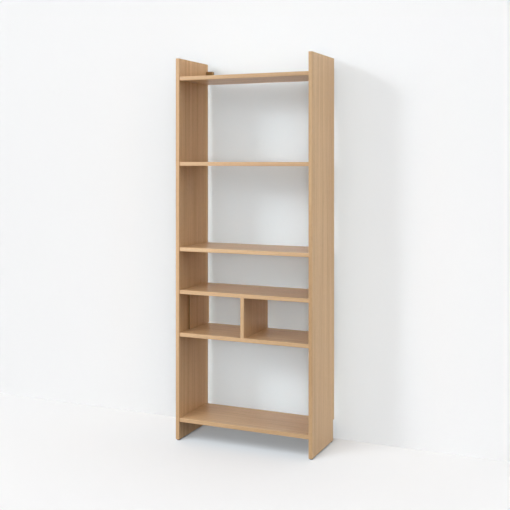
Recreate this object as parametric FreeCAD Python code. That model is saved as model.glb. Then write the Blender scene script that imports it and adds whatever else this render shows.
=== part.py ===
import FreeCAD, Part
import math
import os

from FreeCAD import Vector

# Open bookcase in oak board: two side panels, six shelves and a divided niche.
# Millimetres. The origin is on the floor under the middle of the bookcase,
# +X is to the right seen from the front, +Y is towards the wall and +Z is up.

# Boards
panel_thickness = 18.0
panel_depth = 300.0
shelf_thickness = 18.0
shelf_length = 648.0
shelf_front_setback = 4.0
shelf_rear_gap = 16.0
edge_ease = 0.8

# Heights, from the floor up
pad_height = 5.0
toe_space = 83.0
tall_bay_height = 384.0
top_overhang = 86.0

# Notch that lets the side panels stand over a skirting board
notch_depth = 16.0
notch_height = 95.0

# Divided niche
divider_thickness = 18.0
cheek_thickness = 6.0
cheek_setback = 96.0

# Blocks on the top shelf that are screwed to the wall
block_width = 34.0
block_depth = 20.0
block_height = 48.0
block_tenon_depth = 10.0
wall_hole_radius = 2.75
wall_hole_distance = 14.0

# Loose tenons in the shelf ends, the divider and the blocks
tenon_width = 20.0
tenon_thickness = 6.0
tenon_round = 2.0
tenon_depth = 19.0
tenon_edge_distance = 45.0
tenon_fit = 0.1
blind_wall = 6.0
blind_end_gap = 0.8

# Cam fittings that draw the side panels onto the top, middle and bottom shelf
bolt_radius = 2.5
bolt_head_across = 6.4
bolt_head_length = 2.5
bolt_fit = 0.3
cam_setback = 24.0
cam_head_room = 2.0
cam_wall = 2.3
cam_roof = 0.9
cam_fit = 0.2
cam_recess_width = 1.6
cam_recess_depth = 2.0
cam_recess_from_face = 0.4
cap_overlap = 1.2
cap_thickness = 0.8

# Levelling feet in the bottom edges of the side panels
pad_across = 15.0
pad_ease = 0.8
pad_floor = 1.5
foot_edge_distance = 13.0
stud_radius = 3.0
stud_fit = 0.2
stud_reach = 25.0
insert_across = 10.0
insert_length = 14.0
insert_fit = 0.1

# Heights and faces that follow from the driving sizes
low_bay_height = (tall_bay_height - shelf_thickness) / 2
inner_x = shelf_length / 2
panel_front = -panel_depth / 2
panel_rear = panel_depth / 2
shelf_front = panel_front + shelf_front_setback
shelf_rear = panel_rear - shelf_rear_gap
shelf_middle = (shelf_front + shelf_rear) / 2
tenon_rows = (shelf_front + tenon_edge_distance, shelf_rear - tenon_edge_distance)
panel_blind_depth = panel_thickness - blind_wall
shelf_blind_depth = shelf_thickness - blind_wall

# Cam sizes that follow from the bolt it grips
end_bore_radius = bolt_head_across / math.sqrt(3) + bolt_fit
pocket_half_length = bolt_head_length / 2 + cam_head_room
cam_radius = end_bore_radius + cam_wall
cam_above_axis = end_bore_radius + cam_roof
cam_below_axis = shelf_thickness / 2 - cam_recess_from_face
housing_radius = cam_radius + cam_fit

right_way = Vector(1, 0, 0)
back_way = Vector(0, 1, 0)
up_way = Vector(0, 0, 1)
sides = (("left", -1), ("right", 1))

shelf_steps = (
    ("bottom_shelf", toe_space),
    ("niche_floor_shelf", tall_bay_height),
    ("niche_roof_shelf", low_bay_height),
    ("middle_shelf", low_bay_height),
    ("upper_shelf", tall_bay_height),
    ("top_shelf", tall_bay_height),
)
cam_shelves = ("bottom_shelf", "middle_shelf", "top_shelf")


def stack_shelves():
    """Height of each shelf's underside, from the panels' lower edge up."""
    undersides = {}
    height = pad_height
    for name, clear_height in shelf_steps:
        height += clear_height
        undersides[name] = height
        height += shelf_thickness
    return undersides


shelf_underside = stack_shelves()
top_shelf_top = shelf_underside["top_shelf"] + shelf_thickness
panel_top = top_shelf_top + top_overhang
niche_low = shelf_underside["niche_floor_shelf"] + shelf_thickness
niche_high = shelf_underside["niche_roof_shelf"]
foot_rows = (
    ("front", panel_front + foot_edge_distance),
    ("rear", panel_rear - notch_depth - foot_edge_distance),
)


def prism(points, sweep):
    """Solid swept from a flat closed outline."""
    outline = Part.makePolygon(points + points[:1])
    return Part.Face(outline).extrude(sweep)


def eased_corners(low_a, high_a, low_b, high_b, ease):
    """Corner pairs of a rectangle with each corner cut off by the eased edge."""
    return (
        (low_a + ease, low_b),
        (high_a - ease, low_b),
        (high_a, low_b + ease),
        (high_a, high_b - ease),
        (high_a - ease, high_b),
        (low_a + ease, high_b),
        (low_a, high_b - ease),
        (low_a, low_b + ease),
    )


def rod(radius, start, end):
    """Round bar, or the bore for one, between two points."""
    along = end - start
    return Part.makeCylinder(radius, along.Length, start, along)


def hexagon_bar(across, start, end, flat_way):
    """Hexagonal bar between two points, with two flats square to a direction."""
    along = end - start
    corner_way = along.cross(flat_way).normalize()
    corner_radius = across / math.sqrt(3)
    turns = [math.radians(60 * step) for step in range(6)]
    spokes = [corner_way * math.cos(turn) + flat_way * math.sin(turn) for turn in turns]
    return prism([start + spoke * corner_radius for spoke in spokes], along)


def tenon(start, end, wide_way, flat_way, fit=0.0):
    """Loose tenon with eased edges, or with a fit added, the mortise for it."""
    half_width = tenon_width / 2 + fit
    half_thickness = tenon_thickness / 2 + fit
    corners = eased_corners(-half_width, half_width, -half_thickness, half_thickness, tenon_round)
    return prism([start + wide_way * a + flat_way * b for a, b in corners], end - start)


def turned(profile, axis_point, axis):
    """Solid of revolution from a closed profile of points."""
    face = Part.Face(Part.makePolygon(profile + profile[:1]))
    return face.revolve(axis_point, axis, 360)


def inner_point(side, y, z):
    """Point on a side panel's inner face."""
    return Vector(side * inner_x, y, z)


def outward(side, distance):
    """Step from the inner face into the side panel."""
    return Vector(side * distance, 0, 0)


def shelf_axis(name):
    """Height of the middle of a shelf's thickness."""
    return shelf_underside[name] + shelf_thickness / 2


def shelf_tenon_points(side):
    """Where a side panel's shelf tenons cross its inner face."""
    return [inner_point(side, row, shelf_axis(name)) for name in shelf_underside for row in tenon_rows]


def cam_points(side):
    """Where a side panel's cam bolts cross its inner face."""
    return [inner_point(side, shelf_middle, shelf_axis(name)) for name in cam_shelves]


def block_tenon_point(side):
    """Where a wall block's tenon crosses the side panel's inner face."""
    return inner_point(side, panel_rear - block_depth / 2, top_shelf_top + block_height / 2)


def foot_point(side, row):
    """Point under the middle of a side panel, at its lower edge."""
    return Vector(side * (inner_x + panel_thickness / 2), row, pad_height)


def foot_bores(point):
    """Hexagonal hole for the threaded sleeve and the round hole for the stud above it."""
    sleeve_end = point + up_way * insert_length
    sleeve_hole = hexagon_bar(insert_across + 2 * insert_fit, point, sleeve_end, right_way)
    stud_hole = rod(stud_radius + stud_fit, point, point + up_way * (stud_reach + blind_end_gap))
    return [sleeve_hole, stud_hole]


def side_panel(side):
    """Upright panel with the skirting notch, eased arrises, mortises and bores."""
    x = side * inner_x
    outline = [
        Vector(x, panel_front, pad_height),
        Vector(x, panel_rear - notch_depth, pad_height),
        Vector(x, panel_rear - notch_depth, pad_height + notch_height),
        Vector(x, panel_rear, pad_height + notch_height),
        Vector(x, panel_rear, panel_top),
        Vector(x, panel_front, panel_top),
    ]
    board = prism(outline, outward(side, panel_thickness))
    face_edges = [edge for edge in board.Edges if edge.BoundBox.XLength < edge_ease]
    board = board.makeChamfer(edge_ease, face_edges)
    depth = outward(side, panel_blind_depth)
    cuts = [tenon(p, p + depth, back_way, up_way, tenon_fit) for p in shelf_tenon_points(side)]
    cuts += [rod(bolt_radius + tenon_fit, p, p + depth) for p in cam_points(side)]
    block_point = block_tenon_point(side)
    cuts.append(tenon(block_point, block_point + depth, up_way, back_way, tenon_fit))
    for _, row in foot_rows:
        cuts += foot_bores(foot_point(side, row))
    return board.cut(cuts)


def cam_bores(side, name):
    """End bore for the bolt and the round housing for the cam, open to the shelf's underside."""
    entry = inner_point(side, shelf_middle, shelf_axis(name))
    centre = entry - outward(side, cam_setback)
    underside = centre - up_way * (shelf_thickness / 2)
    return [
        rod(end_bore_radius, entry, centre),
        rod(housing_radius, underside, centre + up_way * cam_above_axis),
    ]


def divider_mortises(name):
    """Mortises for the divider's tenons, in the shelf above or below the niches."""
    level, way = (niche_low, -1) if name == "niche_floor_shelf" else (niche_high, 1)
    depth = up_way * (way * shelf_blind_depth)
    mouths = [Vector(0, row, level) for row in tenon_rows]
    return [tenon(mouth, mouth + depth, back_way, right_way, tenon_fit) for mouth in mouths]


def shelf(name):
    """Board between the side panels, with eased long edges, mortises and cam bores."""
    low = shelf_underside[name]
    corners = eased_corners(shelf_front, shelf_rear, low, low + shelf_thickness, edge_ease)
    board = prism([Vector(-inner_x, y, z) for y, z in corners], Vector(shelf_length, 0, 0))
    cuts = []
    for _, side in sides:
        depth = outward(side, tenon_depth + blind_end_gap)
        mouths = [inner_point(side, row, shelf_axis(name)) for row in tenon_rows]
        cuts += [tenon(mouth, mouth - depth, back_way, up_way, tenon_fit) for mouth in mouths]
        if name in cam_shelves:
            cuts += cam_bores(side, name)
    if name in ("niche_floor_shelf", "niche_roof_shelf"):
        cuts += divider_mortises(name)
    return board.cut(cuts)


def niche_divider():
    """Upright board that splits the niche, tenoned to the shelves above and below."""
    half = divider_thickness / 2
    corners = eased_corners(-half, half, shelf_front, shelf_rear, edge_ease)
    board = prism([Vector(x, y, niche_low) for x, y in corners], up_way * (niche_high - niche_low))
    depth = up_way * (tenon_depth + blind_end_gap)
    cuts = []
    for row in tenon_rows:
        foot = Vector(0, row, niche_low)
        head = Vector(0, row, niche_high)
        cuts.append(tenon(foot, foot + depth, back_way, right_way, tenon_fit))
        cuts.append(tenon(head, head - depth, back_way, right_way, tenon_fit))
    return board.cut(cuts)


def niche_cheek(side):
    """Thin plate glued to the side panel inside the niche, with its front arris eased."""
    front = panel_front + cheek_setback
    face = side * (inner_x - cheek_thickness)
    outline = [
        Vector(side * inner_x, front, niche_low),
        Vector(face + side * edge_ease, front, niche_low),
        Vector(face, front + edge_ease, niche_low),
        Vector(face, panel_rear, niche_low),
        Vector(side * inner_x, panel_rear, niche_low),
    ]
    return prism(outline, up_way * (niche_high - niche_low))


def wall_block(side):
    """Block on the top shelf with a screw hole through to the wall."""
    free_x = side * (inner_x - block_width)
    front = panel_rear - block_depth
    corner = Vector(min(side * inner_x, free_x), front, top_shelf_top)
    block = Part.makeBox(block_width, block_depth, block_height, corner)
    top_edges = [edge for edge in block.Edges if edge.BoundBox.ZMin > top_shelf_top + edge_ease]
    block = block.makeChamfer(edge_ease, top_edges)
    mouth = Vector(free_x + side * wall_hole_distance, front, top_shelf_top + block_height / 2)
    tenon_mouth = block_tenon_point(side)
    mortise_end = tenon_mouth - outward(side, block_tenon_depth + blind_end_gap)
    cuts = [
        rod(wall_hole_radius, mouth, mouth + back_way * block_depth),
        tenon(tenon_mouth, mortise_end, up_way, back_way, tenon_fit),
    ]
    return block.cut(cuts)


def shelf_tenons(side):
    """Tenons between one side panel and the shelf ends."""
    into_panel = outward(side, panel_blind_depth - blind_end_gap)
    into_shelf = outward(side, tenon_depth)
    points = shelf_tenon_points(side)
    return [tenon(p + into_panel, p - into_shelf, back_way, up_way) for p in points]


def divider_tenons():
    """Upright tenons between the divider and the shelves above and below."""
    into_shelf = up_way * (shelf_blind_depth - blind_end_gap)
    into_divider = up_way * tenon_depth
    tenons = []
    for row in tenon_rows:
        foot = Vector(0, row, niche_low)
        head = Vector(0, row, niche_high)
        tenons.append(tenon(foot - into_shelf, foot + into_divider, back_way, right_way))
        tenons.append(tenon(head + into_shelf, head - into_divider, back_way, right_way))
    return tenons


def block_tenon(side):
    """Tenon between a wall block and its side panel."""
    point = block_tenon_point(side)
    into_panel = outward(side, panel_blind_depth - blind_end_gap)
    return tenon(point + into_panel, point - outward(side, block_tenon_depth), up_way, back_way)


def cam_bolt():
    """Bolt drawn for the left side: thread in the panel, head inside the cam."""
    tip = right_way * (blind_end_gap - panel_blind_depth)
    shoulder = right_way * (cam_setback - pocket_half_length)
    head_end = shoulder + right_way * bolt_head_length
    head = hexagon_bar(bolt_head_across, shoulder, head_end, up_way)
    return rod(bolt_radius, tip, shoulder).fuse(head)


def cam_lock():
    """Cam drawn for the left side: barrel with a head pocket, neck slot and screwdriver slot."""
    axis = right_way * cam_setback
    low = axis - up_way * cam_below_axis
    barrel = rod(cam_radius, low, axis + up_way * cam_above_axis)
    reach = 2 * cam_radius
    pocket_corner = axis - Vector(pocket_half_length, end_bore_radius, end_bore_radius)
    pocket = Part.makeBox(2 * pocket_half_length, reach, 2 * end_bore_radius, pocket_corner)
    neck_half = bolt_radius + bolt_fit
    neck_corner = axis - Vector(reach, neck_half, neck_half)
    neck = Part.makeBox(reach, reach, 2 * neck_half, neck_corner)
    recess_corner = low - Vector(pocket_half_length, cam_recess_width / 2, 0)
    recess = Part.makeBox(2 * pocket_half_length, cam_recess_width, cam_recess_depth, recess_corner)
    return barrel.cut([pocket, neck, recess])


def cam_cap():
    """Thin cover cap drawn for the left side, on the shelf's underside over the cam's housing."""
    underside = -shelf_thickness / 2
    flange_radius = housing_radius + cap_overlap
    profile = [
        Vector(cam_setback, 0, underside - cap_thickness),
        Vector(cam_setback + flange_radius - cap_thickness / 2, 0, underside - cap_thickness),
        Vector(cam_setback + flange_radius, 0, underside),
        Vector(cam_setback, 0, underside),
    ]
    return turned(profile, Vector(cam_setback, 0, 0), up_way)


def at_cams(fitting):
    """Copies of a cam fitting drawn for the left side, at every cam on both sides."""
    copies = []
    for _, side in sides:
        for point in cam_points(side):
            copy = fitting.copy()
            if side > 0:
                copy.rotate(Vector(0, 0, 0), up_way, 180)
            copy.translate(point)
            copies.append(copy)
    return copies


def foot_pad(point):
    """Hexagonal foot pad under the panel's lower edge, with the stud's socket."""
    ground = point - up_way * pad_height
    pad = hexagon_bar(pad_across, ground, point, right_way)
    ground_edges = [edge for edge in pad.Edges if edge.BoundBox.ZMax < pad_ease]
    pad = pad.makeChamfer(pad_ease, ground_edges)
    return pad.cut(rod(stud_radius, ground + up_way * pad_floor, point))


def foot_stud(point):
    """Threaded stud, from the pad's socket up into the panel."""
    return rod(stud_radius, point - up_way * (pad_height - pad_floor), point + up_way * stud_reach)


def foot_insert(point):
    """Threaded sleeve flush with the panel's lower edge."""
    end = point + up_way * insert_length
    sleeve = hexagon_bar(insert_across, point, end, right_way)
    return sleeve.cut(rod(stud_radius + stud_fit, point, end))


def save(name, solids):
    """Write one node: a single solid, or a group of like solids."""
    shape = solids[0] if len(solids) == 1 else Part.makeCompound(solids)
    shape.exportStep(os.path.join("parts", name + ".step"))


def save_boards():
    for side_name, side in sides:
        save(side_name + "_side_panel", [side_panel(side)])
        save(side_name + "_niche_cheek", [niche_cheek(side)])
        save(side_name + "_wall_block", [wall_block(side)])
    for name in shelf_underside:
        save(name, [shelf(name)])
    save("niche_divider", [niche_divider()])


def save_fittings():
    for side_name, side in sides:
        save(side_name + "_shelf_tenons", shelf_tenons(side))
    save("divider_tenons", divider_tenons())
    save("block_tenons", [block_tenon(side) for _, side in sides])
    save("cam_bolts", at_cams(cam_bolt()))
    save("cam_locks", at_cams(cam_lock()))
    save("cam_caps", at_cams(cam_cap()))


def save_feet():
    inserts = []
    for side_name, side in sides:
        for row_name, row in foot_rows:
            point = foot_point(side, row)
            foot_name = row_name + "_" + side_name + "_foot"
            save(foot_name + "_pad", [foot_pad(point)])
            save(foot_name + "_stud", [foot_stud(point)])
            inserts.append(foot_insert(point))
    save("foot_inserts", inserts)


os.makedirs("parts", exist_ok=True)
save_boards()
save_fittings()
save_feet()
print("overall height", panel_top, "width", shelf_length + 2 * panel_thickness, "depth", panel_depth)
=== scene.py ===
import math
from collections import namedtuple

import bpy
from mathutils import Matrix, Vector


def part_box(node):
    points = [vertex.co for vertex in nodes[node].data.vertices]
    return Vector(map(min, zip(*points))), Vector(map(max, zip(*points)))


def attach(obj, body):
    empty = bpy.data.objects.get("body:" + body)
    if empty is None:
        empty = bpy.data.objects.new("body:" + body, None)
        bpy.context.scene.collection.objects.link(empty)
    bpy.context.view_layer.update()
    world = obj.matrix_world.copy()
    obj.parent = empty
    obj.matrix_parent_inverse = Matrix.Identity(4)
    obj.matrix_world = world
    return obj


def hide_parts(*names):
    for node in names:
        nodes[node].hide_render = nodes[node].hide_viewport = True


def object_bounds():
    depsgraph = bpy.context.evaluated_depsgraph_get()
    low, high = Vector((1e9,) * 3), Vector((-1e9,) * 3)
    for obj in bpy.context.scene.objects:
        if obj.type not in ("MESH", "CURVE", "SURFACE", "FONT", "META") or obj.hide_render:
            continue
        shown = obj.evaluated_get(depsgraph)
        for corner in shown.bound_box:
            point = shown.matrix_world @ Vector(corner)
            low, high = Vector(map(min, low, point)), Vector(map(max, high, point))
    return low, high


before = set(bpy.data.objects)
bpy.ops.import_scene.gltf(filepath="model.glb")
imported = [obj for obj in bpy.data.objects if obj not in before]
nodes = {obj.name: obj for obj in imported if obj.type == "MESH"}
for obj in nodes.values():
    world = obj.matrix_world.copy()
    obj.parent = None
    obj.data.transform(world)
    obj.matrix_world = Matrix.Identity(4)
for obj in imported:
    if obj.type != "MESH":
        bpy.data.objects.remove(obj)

cad_low, cad_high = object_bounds()

Wood = namedtuple("Wood", "pale mid warm pore ray roughness")
Finish = namedtuple("Finish", "colour fleck metallic roughness grains_per_metre grain_depth")


def srgb(red, green, blue):
    """Linear colour from the usual 0 to 255 values."""
    parts = [value / 255 for value in (red, green, blue)]
    line = [p / 12.92 if p <= 0.04045 else ((p + 0.055) / 1.055) ** 2.4 for p in parts]
    return (*line, 1.0)


# Camera, fitted to the board edges in the photograph, which is 510 pixels square
photo_side_px = 510
focal_px = 871.2
horizon_row_px = 160.7
camera_place = (1.6583, -3.7579, 1.3181)
camera_turn = math.radians(23.807)
sensor_mm = 36.0

# Room: a wall close behind the bookcase, a floor in front of the wall and a rear floor behind it
wall_gap = 0.028
wall_y = cad_high.y + wall_gap
room_half_width = 7.0
room_depth = 9.0
wall_height = 5.0

# Paint levels: near is at the seam of wall and floor, far is from seam_fade metres on, and bounce is what
# the paint throws back at the bookcase. Near the seam the floor is painted darker, a painted shade against
# the light the wall throws on it, and the wall is painted lighter, a painted light. The backdrop is what
# shows past the sheets.
seam_fade = 1.2
wall_near_level = 0.955
wall_far_level = 0.930
wall_bounce = 0.70
floor_near_level = 0.80
floor_far_level = 0.880
floor_bounce = 0.19
rear_floor_level = 0.90
backdrop_level = 0.92
room_roughness = 0.9

# Paint tints: in the open, and a painted shade tint, cooler, in the shade of what stands within shade_reach
# metres, which offsets the warm light that the oak throws on the paint. The shade is full and gone at these
# shares of open space.
shade_reach = 0.5
shade_samples = 8
full_shade_openness = 0.3
no_shade_openness = 1.0
room_tint = (1.0, 1.008, 1.018, 1.0)
wall_shade_tint = (0.86, 1.0, 1.10, 1.0)
floor_shade_tint = (0.92, 1.0, 1.07, 1.0)

# Light: a faint even light from all round, and lamps that each light one thing only. A tall softbox stands
# near the bookcase at its front left.
ambient_level = 0.30
softbox_level = 16.0
softbox_place = (-1.05, -1.25, 1.15)
softbox_aim = (0.0, -0.15, 1.00)
softbox_width = 0.5
softbox_height = 2.2

# Distant lamps: name, what they light, turn to the right of the front, rise and spread in degrees, level
distant_lamps = (
    ("wall_wide_lamp", "wall", 20, 15, 90, 1.43),
    ("floor_key_lamp", "floor", -20, 47, 45, 1.68),
    ("floor_front_lamp", "floor", 5, 12, 24, 4.20),
    ("rear_floor_lamp", "rear_floor", 0, 75, 60, 2.30),
    ("front_lamp", "bookcase", -10, 12, 26, 1.09),
    ("right_lamp", "bookcase", 90, 0, 12, 0.45),
    ("right_high_lamp", "bookcase", 78, 28, 44, 0.54),
    ("top_lamp", "bookcase", 0, 88, 16, 0.70),
    ("rear_lamp", "bookcase", 168, 16, 30, 1.00),
)
lamp_without_shine = "rear_lamp"

# Round lamps for the wall: name, place, radius and level. The boards hide from the camera the shadows that
# the lamp at its place throws.
wall_lamps = (
    ("wall_front_lamp", camera_place, 0.35, 6.8),
    ("wall_side_lamp", (-4.96, -5.33, 3.95), 1.0, 10.2),
)

# Woods
oak = Wood(
    pale=srgb(219, 184, 142),
    mid=srgb(209, 173, 132),
    warm=srgb(199, 161, 120),
    pore=srgb(158, 120, 84),
    ray=srgb(226, 194, 155),
    roughness=0.33,
)
dark_oak = Wood(
    pale=srgb(172, 142, 94),
    mid=srgb(150, 121, 78),
    warm=srgb(150, 121, 78),
    pore=srgb(96, 72, 44),
    ray=srgb(172, 142, 94),
    roughness=0.6,
)
beech = Wood(
    pale=srgb(226, 190, 152),
    mid=srgb(226, 190, 152),
    warm=srgb(208, 168, 128),
    pore=srgb(176, 132, 94),
    ray=srgb(208, 168, 128),
    roughness=0.7,
)
shelf_shine = 0.25
panel_shine = 0.14

# Wood figure: counts per metre across and along the grain, and detail
streak_noise = (62.0, 0.9, 3.0)
line_noise = (430.0, 3.0, 3.0)
pore_noise = (1500.0, 42.0, 1.0)
ray_noise = (260.0, 85.0, 1.0)
noise_roughness = 0.6
# Where in the noise the warm, mid and pale streaks lie, and where lines, pores and rays begin and end
streak_places = (0.32, 0.5, 0.68)
line_range = (0.25, 0.75)
pore_range = (0.56, 0.70)
ray_range = (0.62, 0.72)
# How much each of them shows
line_shade = (0.87, 1.10)
pore_strength = 0.45
ray_strength = 0.18
line_height = 0.4
wood_bump = 0.35
wood_bump_depth = 0.0003
wood_gloss_spread = 0.08

# Seeds: each board's figure comes from its own place in the noise
seed_direction = (3.7, 1.9, 5.3)
board_seed_step = 11.0
end_seed = 5.0
cheek_seed = 7.0
cheek_edge_seed = 8.0
block_seed = 9.0
level_tenon_seed = 3.0
upright_tenon_seed = 4.0

# Metals and plastics
zinc_steel = Finish(srgb(196, 197, 194), srgb(176, 178, 177), 1.0, 0.36, 900.0, 0.00005)
cast_zinc = Finish(srgb(168, 168, 165), srgb(150, 150, 148), 1.0, 0.5, 1200.0, 0.0001)
cap_plastic = Finish(srgb(196, 158, 114), srgb(186, 148, 104), 0.0, 0.5, 2400.0, 0.00006)
black_plastic = Finish(srgb(46, 41, 37), srgb(58, 52, 47), 0.0, 0.55, 2600.0, 0.00008)
speckle_detail = 3.0
speckle_places = (0.35, 0.7)
speckle_range = (0.3, 0.7)
speckle_gloss_spread = 0.1
speckle_bump = 0.3

# Thread of the foot studs: each point of its profile is a share of the pitch and of the depth
thread_pitch = 0.001
thread_depth = 0.00055
thread_profile = ((0.0, 0.0), (0.3, 1.0), (0.45, 1.0), (0.75, 0.0))
thread_steps = 20
stud_end = 0.0006

# Ways that faces look, and the least share of a face's normal along its way
up = Vector((0, 0, 1))
down = Vector((0, 0, -1))
front = Vector((0, -1, 0))
least_facing = 0.9

# Colour sockets of a Mix node, whose names aren't unique
mix_factor = 0
mix_first = 6
mix_second = 7
mix_result = 2


def add_node(tree, kind, settings=None, **inputs):
    """Add a shader node. An input is a value or the output socket of another node."""
    node = tree.nodes.new(kind)
    for name, value in (settings or {}).items():
        setattr(node, name, value)
    for name, value in inputs.items():
        plug(tree, node.inputs[name.replace("_", " ")], value)
    return node


def plug(tree, socket, value):
    """Link a socket to another node's output, or set its value."""
    if isinstance(value, bpy.types.NodeSocket):
        tree.links.new(value, socket)
    else:
        socket.default_value = value


def calculate(tree, operation, first, second):
    """Result of a sum, product or other operation on two numbers."""
    node = tree.nodes.new("ShaderNodeMath")
    node.operation = operation
    plug(tree, node.inputs[0], first)
    plug(tree, node.inputs[1], second)
    return node.outputs[0]


def remap(tree, value, low, high, new_low, new_high):
    """Number stretched from one range to another and kept inside it."""
    node = add_node(tree, "ShaderNodeMapRange", Value=value, From_Min=low, From_Max=high,
                    To_Min=new_low, To_Max=new_high)
    return node.outputs["Result"]


def mix_colour(tree, factor, first, second, way="MIX"):
    """Two colours mixed or multiplied by a factor."""
    node = tree.nodes.new("ShaderNodeMix")
    node.data_type = "RGBA"
    node.blend_type = way
    plug(tree, node.inputs[mix_factor], factor)
    plug(tree, node.inputs[mix_first], first)
    plug(tree, node.inputs[mix_second], second)
    return node.outputs[mix_result]


def ramp(tree, value, places, colours):
    """Colour read from a ramp that has a colour at each place."""
    node = add_node(tree, "ShaderNodeValToRGB", Fac=value)
    elements = node.color_ramp.elements
    while len(elements) < len(places):
        elements.new(places[-1])
    for element, place, colour in zip(elements, places, colours):
        element.position = place
        element.color = colour
    return node.outputs["Color"]


def new_material(name):
    """Empty material with a principled surface."""
    material = bpy.data.materials.new(name)
    material.use_nodes = True
    tree = material.node_tree
    tree.nodes.clear()
    surface = tree.nodes.new("ShaderNodeBsdfPrincipled")
    output = tree.nodes.new("ShaderNodeOutputMaterial")
    tree.links.new(surface.outputs["BSDF"], output.inputs["Surface"])
    return material, tree, surface


def stretched_noise(tree, grain, seed, across, along, detail):
    """Noise drawn out along the grain. Across and along are counts per metre."""
    coordinates = tree.nodes.new("ShaderNodeTexCoord").outputs["Object"]
    scale = [across] * 3
    scale["XYZ".index(grain)] = along
    mapping = add_node(tree, "ShaderNodeMapping", Vector=coordinates, Scale=scale,
                       Location=[seed * share for share in seed_direction])
    noise = add_node(tree, "ShaderNodeTexNoise", Vector=mapping.outputs["Vector"], Scale=1.0,
                     Detail=detail, Roughness=noise_roughness)
    return noise.outputs["Fac"]


def wood(name, kind, grain, seed, shine=shelf_shine):
    """Straight-grained wood: wide streaks, fine lines, open pores and pale ray flecks."""
    material, tree, surface = new_material(name)
    streaks = stretched_noise(tree, grain, seed, *streak_noise)
    lines = stretched_noise(tree, grain, seed + 1, *line_noise)
    pores = remap(tree, stretched_noise(tree, grain, seed + 2, *pore_noise), *pore_range, 0.0, 1.0)
    rays = remap(tree, stretched_noise(tree, grain, seed + 3, *ray_noise), *ray_range, 0.0, 1.0)
    colour = ramp(tree, streaks, streak_places, (kind.warm, kind.mid, kind.pale))
    shade = remap(tree, lines, *line_range, *line_shade)
    colour = mix_colour(tree, 1.0, colour, shade, "MULTIPLY")
    colour = mix_colour(tree, calculate(tree, "MULTIPLY", pores, pore_strength), colour, kind.pore)
    colour = mix_colour(tree, calculate(tree, "MULTIPLY", rays, ray_strength), colour, kind.ray)
    height = calculate(tree, "SUBTRACT", calculate(tree, "MULTIPLY", lines, line_height), pores)
    bump = add_node(tree, "ShaderNodeBump", Strength=wood_bump, Distance=wood_bump_depth, Height=height)
    roughness = remap(tree, lines, *line_range,
                      kind.roughness - wood_gloss_spread, kind.roughness + wood_gloss_spread)
    plug(tree, surface.inputs["Base Color"], colour)
    plug(tree, surface.inputs["Roughness"], roughness)
    plug(tree, surface.inputs["Normal"], bump.outputs["Normal"])
    surface.inputs["Specular IOR Level"].default_value = shine
    return material


def speckled(name, finish):
    """Moulded plastic or metal: fine speckle in colour, gloss and height."""
    material, tree, surface = new_material(name)
    grains = finish.grains_per_metre
    noise = stretched_noise(tree, "Z", 0.0, grains, grains, speckle_detail)
    colour = ramp(tree, noise, speckle_places, (finish.colour, finish.fleck))
    roughness = remap(tree, noise, *speckle_range,
                      finish.roughness - speckle_gloss_spread, finish.roughness + speckle_gloss_spread)
    bump = add_node(tree, "ShaderNodeBump", Strength=speckle_bump, Distance=finish.grain_depth, Height=noise)
    plug(tree, surface.inputs["Base Color"], colour)
    plug(tree, surface.inputs["Roughness"], roughness)
    plug(tree, surface.inputs["Normal"], bump.outputs["Normal"])
    surface.inputs["Metallic"].default_value = finish.metallic
    return material


def dress(node_name, *materials):
    """Give a CAD node its materials."""
    slots = nodes[node_name].data.materials
    slots.clear()
    for material in materials:
        slots.append(material)


def paint_faces(node_name, way):
    """Give a CAD node's second material to the faces that look one way."""
    for face in nodes[node_name].data.polygons:
        if face.normal.dot(way) > least_facing:
            face.material_index = 1


def dress_boards():
    """Oak with its grain along each board, and along the depth on the panels' top and bottom faces. The
    wall blocks are of dark oak, and the cheeks' front edges take the same darker colour."""
    seed = 0.0
    for side in ("left", "right"):
        seed += board_seed_step
        panel = side + "_side_panel"
        dress(panel, wood(panel, oak, "Z", seed, panel_shine),
              wood(panel + "_end", oak, "Y", seed + end_seed, panel_shine))
        paint_faces(panel, up)
        paint_faces(panel, down)
        cheek = side + "_niche_cheek"
        dress(cheek, wood(cheek, oak, "Z", seed + cheek_seed),
              wood(cheek + "_edge", dark_oak, "Z", seed + cheek_edge_seed))
        paint_faces(cheek, front)
        block = side + "_wall_block"
        dress(block, wood(block, dark_oak, "X", seed + block_seed))
    for shelf in sorted(name for name in nodes if name.endswith("_shelf")):
        seed += board_seed_step
        dress(shelf, wood(shelf, oak, "X", seed))
    dress("niche_divider", wood("niche_divider", oak, "Z", seed + board_seed_step))


def dress_fittings():
    """Beech tenons, metal and plastic fittings. Gives back the zinc steel."""
    for name in ("left_shelf_tenons", "right_shelf_tenons", "block_tenons"):
        dress(name, wood(name, beech, "X", level_tenon_seed))
    dress("divider_tenons", wood("divider_tenons", beech, "Z", upright_tenon_seed))
    zinc = speckled("zinc_steel", zinc_steel)
    cast = speckled("cast_zinc", cast_zinc)
    cap = speckled("cap_plastic", cap_plastic)
    black = speckled("black_plastic", black_plastic)
    for name in nodes:
        if name.endswith("_stud") or name in ("cam_bolts", "foot_inserts"):
            dress(name, zinc)
        elif name.endswith("_pad"):
            dress(name, black)
    dress("cam_locks", cast)
    dress("cam_caps", cap)
    return zinc


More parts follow.
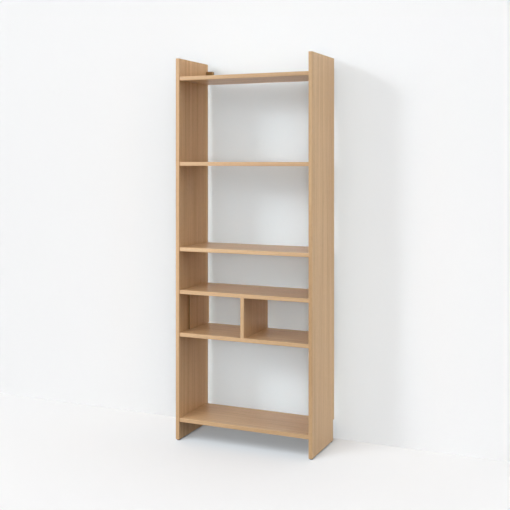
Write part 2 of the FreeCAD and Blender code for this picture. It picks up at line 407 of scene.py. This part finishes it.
def threaded_rod(name, low, high):
    """Upright closed rod with a helical thread, which fills the box of a plain rod."""
    centre = (low + high) / 2
    crest = (high.x - low.x) / 2
    core = crest - thread_depth
    per_turn = len(thread_profile)
    turns = int((high.z - low.z - 2 * stud_end) / thread_pitch) - 1
    rows = per_turn * turns
    points = []
    places = {}

    def add_point(key, radius, step, height):
        angle = 2 * math.pi * step / thread_steps
        places[key] = len(points)
        points.append((centre.x + radius * math.cos(angle), centre.y + radius * math.sin(angle), height))

    def thread_point(row, step):
        return places[row + per_turn * (step // thread_steps), step % thread_steps]

    for step in range(thread_steps):
        for row in range(rows + (per_turn if step == 0 else 0)):
            along, raised = thread_profile[row % per_turn]
            turn = row // per_turn + along + step / thread_steps
            height = low.z + stud_end + turn * thread_pitch
            add_point((row, step), core + raised * thread_depth, step, height)
        add_point(("low", step), core - stud_end, step, low.z)
        add_point(("high", step), core - stud_end, step, high.z)
    low_ring = [places["low", step] for step in range(thread_steps)]
    high_ring = [places["high", step] for step in range(thread_steps)]
    faces = [low_ring[::-1], high_ring]
    for step in range(thread_steps):
        after = (step + 1) % thread_steps
        for row in range(rows - 1):
            faces.append((thread_point(row, step), thread_point(row, step + 1),
                          thread_point(row + 1, step + 1), thread_point(row + 1, step)))
        faces.append((low_ring[step], low_ring[after], thread_point(0, step + 1), thread_point(0, step)))
        faces.append((thread_point(rows - 1, step), thread_point(rows - 1, step + 1),
                      high_ring[after], high_ring[step]))
    start = [thread_point(row, 0) for row in range(per_turn + 1)]
    finish = [thread_point(row, 0) for row in range(rows - 1, rows + per_turn)]
    faces.append([low_ring[0]] + start)
    faces.append([high_ring[0]] + finish[::-1])
    mesh = bpy.data.meshes.new(name)
    mesh.from_pydata(points, [], faces)
    rod = bpy.data.objects.new(name, mesh)
    bpy.context.scene.collection.objects.link(rod)
    return rod


def make_studs(zinc):
    """Threaded studs in place of the feet's plain ones."""
    studs = []
    for node in [name for name in nodes if name.endswith("_foot_stud")]:
        rod = threaded_rod(node.replace("_stud", "_threaded_stud"), *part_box(node))
        rod.data.materials.append(zinc)
        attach(rod, node.removesuffix("_stud"))
        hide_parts(node)
        studs.append(rod)
    return studs


def flat_sheet(name, corners, paint):
    """Flat four-cornered sheet for the room, which stops no lamp."""
    mesh = bpy.data.meshes.new(name)
    mesh.from_pydata(corners, [], [(0, 1, 2, 3)])
    mesh.materials.append(paint)
    sheet = bpy.data.objects.new(name, mesh)
    sheet.visible_shadow = False
    bpy.context.scene.collection.objects.link(sheet)
    return sheet


def seen_ray(tree):
    """1 for a ray that the camera, a gloss or clear stuff shows, 0 for light thrown back."""
    path = tree.nodes.new("ShaderNodeLightPath").outputs
    mirrored = calculate(tree, "MAXIMUM", path["Is Glossy Ray"], path["Is Transmission Ray"])
    return calculate(tree, "MAXIMUM", path["Is Camera Ray"], mirrored)


def seam_distance(tree):
    """Distance from the seam of wall and floor, on either of them."""
    coordinates = tree.nodes.new("ShaderNodeTexCoord").outputs["Object"]
    place = add_node(tree, "ShaderNodeSeparateXYZ", Vector=coordinates).outputs
    from_wall = calculate(tree, "SUBTRACT", wall_y, place["Y"])
    return calculate(tree, "ADD", from_wall, place["Z"])


def clear_from_behind(tree, surface):
    """Let a sheet's front show its paint, and its back nothing."""
    output = next(node for node in tree.nodes if node.type == "OUTPUT_MATERIAL")
    mix = tree.nodes.new("ShaderNodeMixShader")
    share, front_shader, back_shader = mix.inputs
    plug(tree, share, tree.nodes.new("ShaderNodeNewGeometry").outputs["Backfacing"])
    plug(tree, front_shader, surface.outputs["BSDF"])
    plug(tree, back_shader, tree.nodes.new("ShaderNodeBsdfTransparent").outputs["BSDF"])
    plug(tree, output.inputs["Surface"], mix.outputs["Shader"])


def room_paint(name, shade_tint, bounce, near_level, far_level):
    """Pale matt paint with a painted shade tint, cooler where the boards stand close, which offsets the
    light that the oak throws on it. Near the seam it is painted darker on the floor and lighter on the
    wall: painted shade and painted light."""
    material, tree, surface = new_material(name)
    # Painted shade tint: cooler paint where the boards stand close
    openness = add_node(tree, "ShaderNodeAmbientOcclusion", {"samples": shade_samples}, Distance=shade_reach)
    shade = remap(tree, openness.outputs["AO"], full_shade_openness, no_shade_openness, 1.0, 0.0)
    tint = mix_colour(tree, shade, room_tint, shade_tint)
    # Painted shade on the floor and painted light on the wall, near their seam
    level = remap(tree, seam_distance(tree), 0.0, seam_fade, near_level, far_level)
    seen_paint = mix_colour(tree, 1.0, tint, level, "MULTIPLY")
    bounce_paint = (bounce, bounce, bounce, 1.0)
    plug(tree, surface.inputs["Base Color"], mix_colour(tree, seen_ray(tree), bounce_paint, seen_paint))
    surface.inputs["Roughness"].default_value = room_roughness
    surface.inputs["Specular IOR Level"].default_value = 0.0
    clear_from_behind(tree, surface)
    return material


def floor_sheet(name, front_y, back_y, near_level, far_level):
    """Part of the floor, between two places along Y."""
    corners = [
        (-room_half_width, front_y, 0),
        (room_half_width, front_y, 0),
        (room_half_width, back_y, 0),
        (-room_half_width, back_y, 0),
    ]
    paint = room_paint(name + "_paint", floor_shade_tint, floor_bounce, near_level, far_level)
    return flat_sheet(name, corners, paint)


def wall_sheet(name):
    """Wall behind the bookcase."""
    corners = [
        (-room_half_width, wall_y, 0),
        (room_half_width, wall_y, 0),
        (room_half_width, wall_y, wall_height),
        (-room_half_width, wall_y, wall_height),
    ]
    paint = room_paint(name + "_paint", wall_shade_tint, wall_bounce, wall_near_level, wall_far_level)
    return flat_sheet(name, corners, paint)


def make_room():
    """Floor, wall, and the floor behind the wall, which only the views from behind show."""
    floor = floor_sheet("floor", wall_y - room_depth, wall_y, floor_near_level, floor_far_level)
    rear_floor = floor_sheet("rear_floor", wall_y, wall_y + room_depth, rear_floor_level, rear_floor_level)
    return [wall_sheet("wall"), floor, rear_floor]


def light_world():
    """Even light from all round, which shows as the backdrop."""
    world = bpy.data.worlds.new("studio")
    world.use_nodes = True
    tree = world.node_tree
    tree.nodes.clear()
    strength = remap(tree, seen_ray(tree), 0.0, 1.0, ambient_level, backdrop_level)
    background = add_node(tree, "ShaderNodeBackground", Color=(1, 1, 1, 1), Strength=strength)
    output = tree.nodes.new("ShaderNodeOutputWorld")
    plug(tree, output.inputs["Surface"], background.outputs["Background"])
    bpy.context.scene.world = world


def gather(name, members):
    """Collection of the objects that a lamp lights."""
    collection = bpy.data.collections.new(name)
    for member in members:
        collection.objects.link(member)
    return collection


def add_lamp(name, kind, level, lit):
    """Lamp that lights one collection of objects."""
    lamp = bpy.data.lights.new(name, kind)
    lamp.energy = level
    holder = bpy.data.objects.new(name, lamp)
    bpy.context.scene.collection.objects.link(holder)
    holder.light_linking.receiver_collection = lit
    return holder


def add_distant_lamp(name, turn, rise, spread, level, lit):
    """Lamp so far off that its light is the same everywhere."""
    lamp = add_lamp(name, "SUN", level, lit)
    lamp.data.angle = math.radians(spread)
    lamp.rotation_euler = (math.radians(90 - rise), 0, math.radians(turn))
    lamp.visible_glossy = name != lamp_without_shine


def add_round_lamp(name, place, radius, level, lit):
    """Round lamp that is as strong far away as near."""
    lamp = add_lamp(name, "POINT", level, lit)
    lamp.location = place
    lamp.visible_camera = False
    lamp.data.shadow_soft_size = radius
    lamp.data.use_nodes = True
    tree = lamp.data.node_tree
    falloff = add_node(tree, "ShaderNodeLightFalloff", Strength=1.0)
    emission = next(node for node in tree.nodes if node.type == "EMISSION")
    plug(tree, emission.inputs["Strength"], falloff.outputs["Constant"])


def add_softbox(lit):
    """Tall rectangular lamp close to the bookcase."""
    softbox = add_lamp("softbox", "AREA", softbox_level, lit)
    softbox.data.shape = "RECTANGLE"
    softbox.data.size = softbox_width
    softbox.data.size_y = softbox_height
    softbox.location = softbox_place
    aim = Vector(softbox_aim) - Vector(softbox_place)
    softbox.rotation_euler = aim.to_track_quat("-Z", "Y").to_euler()


def add_lamps(sheets, bookcase):
    """All lamps, each for one sheet of the room or for the bookcase's pieces."""
    lit = {sheet.name: gather(sheet.name, [sheet]) for sheet in sheets}
    lit["bookcase"] = gather("bookcase", bookcase)
    for name, target, *light in distant_lamps:
        add_distant_lamp(name, *light, lit[target])
    for name, *light in wall_lamps:
        add_round_lamp(name, *light, lit["wall"])
    add_softbox(lit["bookcase"])


def place_camera():
    """Level camera with its frame moved down, so that uprights stay upright as in the photograph."""
    camera = bpy.data.cameras.new("camera")
    camera.sensor_width = sensor_mm
    camera.lens = focal_px * sensor_mm / photo_side_px
    camera.shift_y = (horizon_row_px - photo_side_px / 2) / photo_side_px
    holder = bpy.data.objects.new("camera", camera)
    holder.location = camera_place
    holder.rotation_euler = (math.pi / 2, 0, camera_turn)
    bpy.context.scene.collection.objects.link(holder)
    bpy.context.scene.camera = holder


dress_boards()
new_studs = make_studs(dress_fittings())
add_lamps(make_room(), [*nodes.values(), *new_studs])
light_world()
place_camera()
bpy.context.scene.view_settings.view_transform = "Standard"
